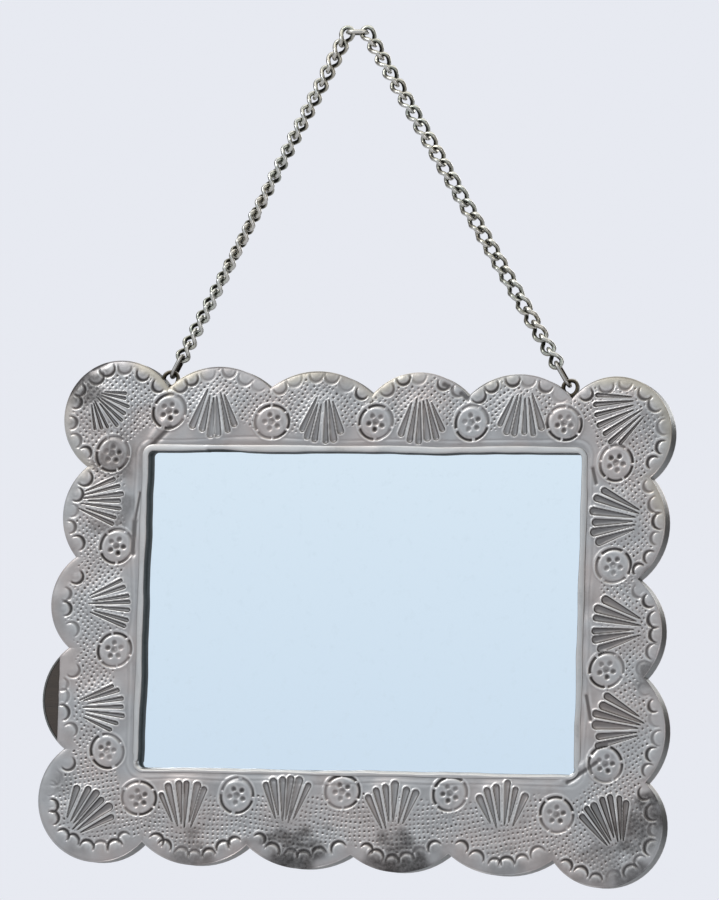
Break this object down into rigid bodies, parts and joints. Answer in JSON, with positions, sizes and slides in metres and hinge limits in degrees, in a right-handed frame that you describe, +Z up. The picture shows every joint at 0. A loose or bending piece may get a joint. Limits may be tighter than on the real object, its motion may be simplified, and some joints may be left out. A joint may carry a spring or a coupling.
{
  "type": "wall mirror",
  "caption": "Small landscape wall mirror in a lobed, embossed metal frame with shell and rosette relief, hung by a twisted-link chain from one nail.",
  "frame": {"origin": "where the apex link of the chain rests on its nail, midway through the frame's depth", "axes": "+X to the viewer's right, -Y towards the viewer, +Z up"},
  "size_m": [0.2214, 0.0087, 0.2963],
  "materials": {
    "silver_sheet": "embossed silver sheet, tarnished",
    "chain_silver": "worn silver wire",
    "loop_brass": "dark tarnished",
    "core_wood": "dark and dry",
    "mirror": "silvered glass",
    "card": "plain",
    "pin_steel": "dull"
  },
  "bodies": {
    "apex_link": {"apex_link": "chain_silver"},
    "level_01": {"chain_links_01": "chain_silver"},
    "level_02": {"chain_links_02": "chain_silver"},
    "level_03": {"chain_links_03": "chain_silver"},
    "level_04": {"chain_links_04": "chain_silver"},
    "level_05": {"chain_links_05": "chain_silver"},
    "level_06": {"chain_links_06": "chain_silver"},
    "level_07": {"chain_links_07": "chain_silver"},
    "level_08": {"chain_links_08": "chain_silver"},
    "level_09": {"chain_links_09": "chain_silver"},
    "level_10": {"chain_links_10": "chain_silver"},
    "level_11": {"chain_links_11": "chain_silver"},
    "level_12": {"chain_links_12": "chain_silver"},
    "level_13": {"chain_links_13": "chain_silver"},
    "level_14": {"chain_links_14": "chain_silver"},
    "level_15": {"chain_links_15": "chain_silver"},
    "level_16": {"chain_links_16": "chain_silver"},
    "level_17": {"chain_links_17": "chain_silver"},
    "level_18": {"chain_links_18": "chain_silver"},
    "level_19": {"chain_links_19": "chain_silver"},
    "level_20": {"chain_links_20": "chain_silver"},
    "level_21": {"chain_links_21": "chain_silver"},
    "level_22": {"chain_links_22": "chain_silver"},
    "level_23": {"chain_links_23": "chain_silver"},
    "level_24": {"chain_links_24": "chain_silver"},
    "level_25": {"chain_links_25": "chain_silver"},
    "level_26": {"chain_links_26": "loop_brass"},
    "frame": {"loop_left": "loop_brass", "loop_right": "loop_brass", "front_frame": "silver_sheet", "rim_band": "silver_sheet", "sight_bezel": "silver_sheet", "core_board": "core_wood", "mirror_glass": "mirror", "packing_card": "card", "back_plate": "silver_sheet", "back_pins": "pin_steel"}
  },
  "joints": [
    {"name": "link_swing_01", "type": "hinge", "parent": "apex_link", "child": "level_01", "pos_m": [-0.00304, 0, 0.00153], "axis": [1, 0, -0.0065], "range_deg": [-12, 12]},
    {"name": "link_swing_02", "type": "hinge", "parent": "level_01", "child": "level_02", "pos_m": [-0.0053, 0, -0.00304], "axis": [-1, 0, 0.01], "range_deg": [-12, 12]},
    {"name": "link_swing_03", "type": "hinge", "parent": "level_02", "child": "level_03", "pos_m": [-0.00756, 0, -0.00761], "axis": [0.9999, 0, -0.0113], "range_deg": [-12, 12]},
    {"name": "link_swing_04", "type": "hinge", "parent": "level_03", "child": "level_04", "pos_m": [-0.00982, 0, -0.01218], "axis": [-0.9999, 0, 0.012], "range_deg": [-12, 12]},
    {"name": "link_swing_05", "type": "hinge", "parent": "level_04", "child": "level_05", "pos_m": [-0.01208, 0, -0.01675], "axis": [0.9999, 0, -0.0124], "range_deg": [-12, 12]},
    {"name": "link_swing_06", "type": "hinge", "parent": "level_05", "child": "level_06", "pos_m": [-0.01434, 0, -0.02132], "axis": [-0.9999, 0, 0.0127], "range_deg": [-12, 12]},
    {"name": "link_swing_07", "type": "hinge", "parent": "level_06", "child": "level_07", "pos_m": [-0.0166, 0, -0.0259], "axis": [0.9999, 0, -0.0129], "range_deg": [-12, 12]},
    {"name": "link_swing_08", "type": "hinge", "parent": "level_07", "child": "level_08", "pos_m": [-0.01886, 0, -0.03047], "axis": [-0.9999, 0, 0.013], "range_deg": [-12, 12]},
    {"name": "link_swing_09", "type": "hinge", "parent": "level_08", "child": "level_09", "pos_m": [-0.02112, 0, -0.03504], "axis": [0.9999, 0, -0.0131], "range_deg": [-12, 12]},
    {"name": "link_swing_10", "type": "hinge", "parent": "level_09", "child": "level_10", "pos_m": [-0.02338, 0, -0.03961], "axis": [-0.9999, 0, 0.0132], "range_deg": [-12, 12]},
    {"name": "link_swing_11", "type": "hinge", "parent": "level_10", "child": "level_11", "pos_m": [-0.02564, 0, -0.04418], "axis": [0.9999, 0, -0.0133], "range_deg": [-12, 12]},
    {"name": "link_swing_12", "type": "hinge", "parent": "level_11", "child": "level_12", "pos_m": [-0.0279, 0, -0.04876], "axis": [-0.9999, 0, 0.0134], "range_deg": [-12, 12]},
    {"name": "link_swing_13", "type": "hinge", "parent": "level_12", "child": "level_13", "pos_m": [-0.03016, 0, -0.05333], "axis": [0.9999, 0, -0.0134], "range_deg": [-12, 12]},
    {"name": "link_swing_14", "type": "hinge", "parent": "level_13", "child": "level_14", "pos_m": [-0.03242, 0, -0.0579], "axis": [-0.9999, 0, 0.0135], "range_deg": [-12, 12]},
    {"name": "link_swing_15", "type": "hinge", "parent": "level_14", "child": "level_15", "pos_m": [-0.03468, 0, -0.06247], "axis": [0.9999, 0, -0.0135], "range_deg": [-12, 12]},
    {"name": "link_swing_16", "type": "hinge", "parent": "level_15", "child": "level_16", "pos_m": [-0.03694, 0, -0.06704], "axis": [-0.9999, 0, 0.0136], "range_deg": [-12, 12]},
    {"name": "link_swing_17", "type": "hinge", "parent": "level_16", "child": "level_17", "pos_m": [-0.0392, 0, -0.07161], "axis": [0.9999, 0, -0.0136], "range_deg": [-12, 12]},
    {"name": "link_swing_18", "type": "hinge", "parent": "level_17", "child": "level_18", "pos_m": [-0.04146, 0, -0.07619], "axis": [-0.9999, 0, 0.0136], "range_deg": [-12, 12]},
    {"name": "link_swing_19", "type": "hinge", "parent": "level_18", "child": "level_19", "pos_m": [-0.04372, 0, -0.08076], "axis": [0.9999, 0, -0.0136], "range_deg": [-12, 12]},
    {"name": "link_swing_20", "type": "hinge", "parent": "level_19", "child": "level_20", "pos_m": [-0.04598, 0, -0.08533], "axis": [-0.9999, 0, 0.0137], "range_deg": [-12, 12]},
    {"name": "link_swing_21", "type": "hinge", "parent": "level_20", "child": "level_21", "pos_m": [-0.04824, 0, -0.0899], "axis": [0.9999, 0, -0.0137], "range_deg": [-12, 12]},
    {"name": "link_swing_22", "type": "hinge", "parent": "level_21", "child": "level_22", "pos_m": [-0.0505, 0, -0.09447], "axis": [-0.9999, 0, 0.0137], "range_deg": [-12, 12]},
    {"name": "link_swing_23", "type": "hinge", "parent": "level_22", "child": "level_23", "pos_m": [-0.05276, 0, -0.09904], "axis": [0.9999, 0, -0.0137], "range_deg": [-12, 12]},
    {"name": "link_swing_24", "type": "hinge", "parent": "level_23", "child": "level_24", "pos_m": [-0.05502, 0, -0.10362], "axis": [-0.9999, 0, 0.0137], "range_deg": [-12, 12]},
    {"name": "link_swing_25", "type": "hinge", "parent": "level_24", "child": "level_25", "pos_m": [-0.05728, 0, -0.10819], "axis": [0.9999, 0, -0.0138], "range_deg": [-12, 12]},
    {"name": "link_swing_26", "type": "hinge", "parent": "level_25", "child": "level_26", "pos_m": [-0.05954, 0, -0.11276], "axis": [-0.9999, 0, 0.0138], "range_deg": [-12, 12]},
    {"name": "frame_swing", "type": "hinge", "parent": "level_26", "child": "frame", "pos_m": [-0.06204, 0, -0.1178], "axis": [0.9998, 0, -0.0187], "range_deg": [-45, 45]}
  ]
}
